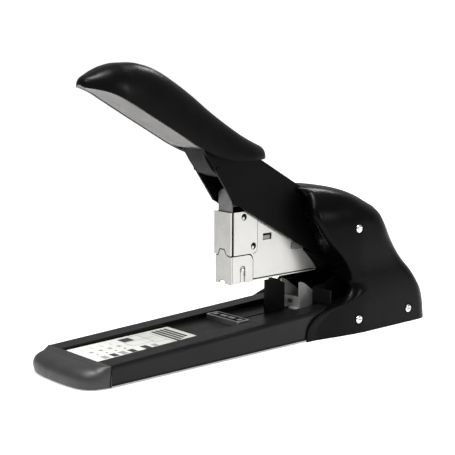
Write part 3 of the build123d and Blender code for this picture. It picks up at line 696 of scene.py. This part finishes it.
def label_print():
    """Generic marks on the slip: bars for lines of type, small frames and diagrams."""
    bars, greys = [], []
    rng = np.random.default_rng(7)

    def bar(x0, x1, y0, y1, shade=None):
        (greys if shade else bars).append((x0, x1, y0, y1))

    for k in range(4):
        bar(63.0 + 3.2 * k, 65.2 + 3.2 * k, -12.5 + 1.5 * k, 14.5)
    for k in range(3):
        bar(63.6 + 3.2 * k, 64.4 + 3.2 * k, -15.8, -14.2 + 1.2 * k, 1)
    bar(37.0, 45.0, 6.5, 14.0)
    bar(38.5, 43.0, -14.5, -6.5)
    bar(45.5, 49.0, -12.5, -8.0, 1)
    for k in range(4):
        x = 8.5 + 6.6 * k
        bar(x, x + 4.2, -13.5, -7.5, k % 2 == 0)
        bar(x + 0.6, x + 3.2, 1.0, 4.2, 1)
        bar(x + 1.2, x + 2.2, -4.6, -2.6)
        bar(x + 0.4, x + 1.0, 7.5, 10.5 + 2.5 * rng.random(), 1)
    for x, y0, y1 in ((36.0, -3.0, 5.0), (52.0, -3.0, 13.5), (60.5, -15.0, 13.0)):
        bar(x, x + 0.5, y0, y1, 1)
    for x0, x1, y in ((36.0, 52.0, -3.4), (36.0, 58.0, 5.0), (50.0, 61.0, -6.0), (46.0, 60.5, 14.2)):
        bar(x0, x1, y, y + 0.5, 1)
    for items, mat, name in ((bars, INK, "label_marks"), (greys, PRINT_AND_SHADE_GREY, "label_marks_grey")):
        verts, faces = [], []
        for x0, x1, y0, y1 in items:
            n = len(verts)
            for x, y in ((x0, y0), (x1, y0), (x1, y1), (x0, y1)):
                verts.append((x + SEAM_X, y, floor_z(x) + 0.17))
            faces.append((n, n + 1, n + 2, n + 3))
        obj = make(name, verts, faces, mat, "base", smooth=False)


label_print()


# ------------------------------------------------------------------ magazine

for node in ("magazine_side_near", "magazine_side_far", "guide_cheeks", "front_plate", "nose_piece"):
    sheet = detail(node, NICKEL, "magazine", 0.12)
    # Faces turned to the front get the darker copy of the nickel: painted shade on the front of the
    # magazine.
    sheet.data.materials.append(NICKEL_SHADED_FRONT)
    for poly in sheet.data.polygons:
        poly.material_index = int(poly.normal.x < -0.6)
detail("magazine_carrier", DARK, "magazine", 0.2)
detail("cross_pin", PIN_GREY, "magazine", 0.3, 3)
detail("nose_pins", STEEL, "magazine", 0.2)
detail("staple_rail", STEEL, "magazine", 0.2)
detail("staple_pusher", DARK, "pusher", 0.3)
detail("driver_blade", BLADE, "driver", 0.1)
detail("driver_block", BLOCK, "driver", 0.35, 3)
detail("driver_rivets", BLADE, "driver", 0.1)


def magazine_seams():
    """Thin strips and discs laid on the sheets: painted shade for seams, channel, hem, corner, slot
    outline, window and holes, and a painted highlight in each hole.
    """
    both = (-1, 1)

    # Lays a strip of painted shade on both sides, black unless another colour is given.
    def seam(name, path, width, level, mat=PAINTED_SHADE):
        ribbon(name, path, width, level, "side", "magazine", mat, both)

    # Each strip below is painted shade: in the seams and the channel, along the hem's fold and the
    # front corner, and round the slot.
    seam("nose_seam_shade", [(110.9, 57.5), (125.2, 57.5), (127.4, 56.8), (128.9, 55.0), (129.2, 53.2),
                       (129.2, 40.2)], 1.0, 7.19)
    seam("cheek_seam_shade", [(132.9, 85.2), (132.9, 61.2), (131.9, 58.6), (129.6, 57.6)],
         0.9, 7.19)
    seam("channel_painted_shade", [(112.0, 58.0), (112.0, 85.2)], 1.1, 7.08)
    seam("hem_fold_shade", [(129.4, 40.9), (160.0, 40.8), (185.8, 40.7)], 0.8, 7.19)
    seam("corner_shade_line", [(111.3, 40.4), (111.3, 56.8)], 0.45, 7.78, PRINT_AND_SHADE_GREY)
    # A grey strip of painted shade inside the window.
    seam("window_grey_shade", [(138.5, 66.7), (144.6, 66.7)], 2.4, 6.5, PRINT_AND_SHADE_GREY)
    seam("slot_outline_shade", [(118.1, 40.0), (118.1, 48.6), (118.7, 50.0), (120.1, 50.6), (121.5, 50.0),
                       (122.1, 48.6), (122.1, 44.0)], 0.35, 7.78)
    ribbon("front_seam_shade", [(-7.2, 57.5), (-3.3, 57.9), (-1.2, 61.6), (3.1, 61.6), (4.8, 57.5),
                          (7.2, 57.5)], 0.7, 110.93, "front", "magazine", PAINTED_SHADE)
    # Each hole: a dark disc of painted shade behind it, and a small nickel disc low in it as a
    # painted highlight.
    for k, (x, z) in enumerate(((121.1, 81.9), (129.3, 62.5))):
        disc("hole_back_shade_%d" % k, x, z, 2.15, 7.2, "magazine", PAINTED_SHADE)
        disc("hole_painted_highlight_%d" % k, x - 0.1, z - 0.95, 1.0, 7.23, "magazine", NICKEL)
    # A dark strip of painted shade behind the window.
    seam("window_back_shade", [(137.6, 67.3), (146.0, 67.3)], 5.0, 6.35)


magazine_seams()


def staples():
    """The strip: one bent wire after another, with a narrow gap between them."""
    pitch, wire, count = 0.65, 0.58, 36
    outer = [(-6.45, 41.0), (-6.45, 62.9), (-6.1, 63.3), (6.1, 63.3), (6.45, 62.9), (6.45, 41.0)]
    inner = [(5.87, 41.0), (5.87, 62.72), (-5.87, 62.72), (-5.87, 41.0)]
    ring = outer + inner
    verts, faces = [], []
    for k in range(count):
        x0 = 113.25 + pitch * k
        n = len(verts)
        for x in (x0, x0 + wire):
            verts += [(x + SEAM_X, y, z) for y, z in ring]
        m = len(ring)
        faces.append([n + j for j in range(m)])
        faces.append([n + m + j for j in range(m)])
        for j in range(m):
            q = (j + 1) % m
            faces.append((n + j, n + q, n + m + q, n + m + j))
    obj = make("staple_wires", verts, faces, STEEL, "magazine", smooth=False)
    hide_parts("staple_strip")


def coil(name, node, body, mat, axis, start, stop, radius, wire, turns, centre):
    """Wound wire as a tube round the axis."""
    steps, sides = int(turns * 20), 8
    verts = []
    for i in range(steps + 1):
        s = i / steps
        a = 2 * math.pi * turns * s
        along = start + (stop - start) * s
        for j in range(sides):
            b = 2 * math.pi * j / sides
            r = radius + wire * math.cos(b)
            u, w, level = r * math.cos(a), r * math.sin(a), along + wire * math.sin(b)
            if axis == "X":
                verts.append((level, centre[1] + u, centre[2] + w))
            else:
                verts.append((centre[0] + u, level, centre[2] + w))
    faces = []
    for i in range(steps):
        for j in range(sides):
            k = (j + 1) % sides
            faces.append((i * sides + j, i * sides + k,
                          (i + 1) * sides + k, (i + 1) * sides + j))
    obj = make(name, verts, faces, mat, body)
    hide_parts(node)
    return obj


staples()
pusher_coil = coil("pusher_coil", "pusher_spring", "magazine", WIRE, "X",
                   23.9, 39.7, 2.2, 0.3, 12, (0, 0, 66.2))
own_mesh(pusher_coil)
coil("return_coil", "return_spring", "base", WIRE, "Y",
     -6.1, 6.1, 6.2, 0.85, 7, (82.0, 0, 62.0))


# ------------------------------------------------------------------ floor, light, camera

def floor():
    """A large white floor with a little glow of its own, so that it meets the white backdrop."""
    far = 3.0
    verts = [(-far, -far, 0), (far, -far, 0), (far, far, 0), (-far, far, 0)]
    mesh = bpy.data.meshes.new("floor")
    mesh.from_pydata(verts, [], [(0, 1, 2, 3)])
    obj = bpy.data.objects.new("floor", mesh)
    bpy.context.scene.collection.objects.link(obj)
    mat, tree, bsdf, coords = new_material("floor_white")
    shade = tint(tree, noise(tree, coords, 3.0), (0.76, 0.76, 0.76), (0.78, 0.78, 0.78))
    tree.links.new(shade, bsdf.inputs["Base Color"])
    bsdf.inputs["Roughness"].default_value = 0.8
    bsdf.inputs["Emission Color"].default_value = (1, 1, 1, 1)
    bsdf.inputs["Emission Strength"].default_value = 0.40
    mesh.materials.append(mat)


def light(name, at, toward, size, energy):
    data = bpy.data.lights.new(name, "AREA")
    data.shape = "RECTANGLE"
    data.size = size
    data.size_y = size
    data.energy = energy
    obj = bpy.data.objects.new(name, data)
    bpy.context.scene.collection.objects.link(obj)
    obj.location = at
    obj.rotation_euler = (Vector(toward) - Vector(at)).to_track_quat("-Z", "Y").to_euler()


def soft_sun(energy, angle, toward):
    data = bpy.data.lights.new("soft_sun", "SUN")
    data.energy = energy
    data.angle = math.radians(angle)
    obj = bpy.data.objects.new("soft_sun", data)
    bpy.context.scene.collection.objects.link(obj)
    obj.rotation_euler = Vector(toward).to_track_quat("-Z", "Y").to_euler()


def world():
    """A white backdrop as seen directly, and a dimmer room for light and reflections."""
    w = bpy.data.worlds.new("studio")
    bpy.context.scene.world = w
    w.use_nodes = True
    tree = w.node_tree
    back = tree.nodes["Background"]
    back.inputs["Color"].default_value = (1, 1, 1, 1)
    back.inputs["Strength"].default_value = 0.35
    plain = tree.nodes.new("ShaderNodeBackground")
    plain.inputs["Color"].default_value = (1, 1, 1, 1)
    plain.inputs["Strength"].default_value = 1.0
    path = tree.nodes.new("ShaderNodeLightPath")
    mix = tree.nodes.new("ShaderNodeMixShader")
    tree.links.new(path.outputs["Is Camera Ray"], mix.inputs["Fac"])
    tree.links.new(back.outputs["Background"], mix.inputs[1])
    tree.links.new(plain.outputs["Background"], mix.inputs[2])
    tree.links.new(mix.outputs["Shader"], tree.nodes["World Output"].inputs["Surface"])


def camera():
    yaw, pitch, roll = math.radians(48.401), math.radians(9.434), math.radians(0.233)
    ahead = Vector((math.cos(pitch) * math.cos(yaw), math.cos(pitch) * math.sin(yaw),
                    -math.sin(pitch)))
    right = ahead.cross(Vector((0, 0, 1))).normalized()
    up = right.cross(ahead)
    right, up = (math.cos(roll) * right + math.sin(roll) * up,
                 -math.sin(roll) * right + math.cos(roll) * up)
    data = bpy.data.cameras.new("camera")
    data.sensor_width = 36.0
    data.lens = 93.05
    data.dof.use_dof = False
    obj = bpy.data.objects.new("camera", data)
    bpy.context.scene.collection.objects.link(obj)
    rot = Matrix((right, up, -ahead)).transposed().to_4x4()
    obj.matrix_world = Matrix.Translation((-0.4985, -0.5479, 0.1968)) @ rot
    bpy.context.scene.camera = obj


floor()
world()
soft_sun(1.5, 40, (0.12, 0.10, -1.0))
light("overhead", (-0.25, -0.06, 1.15), (-0.02, 0, 0.08), 0.32, 10.0)
light("key", (-0.75, -0.15, 0.95), (0, 0, 0.08), 0.24, 4.0)
light("side", (0.45, -1.15, 0.50), (0.05, 0, 0.05), 0.18, 2.5)
light("rear", (0.75, 0.25, 0.85), (0.08, 0, 0.08), 0.25, 3.5)
camera()
bpy.context.scene.view_settings.view_transform = "Standard"
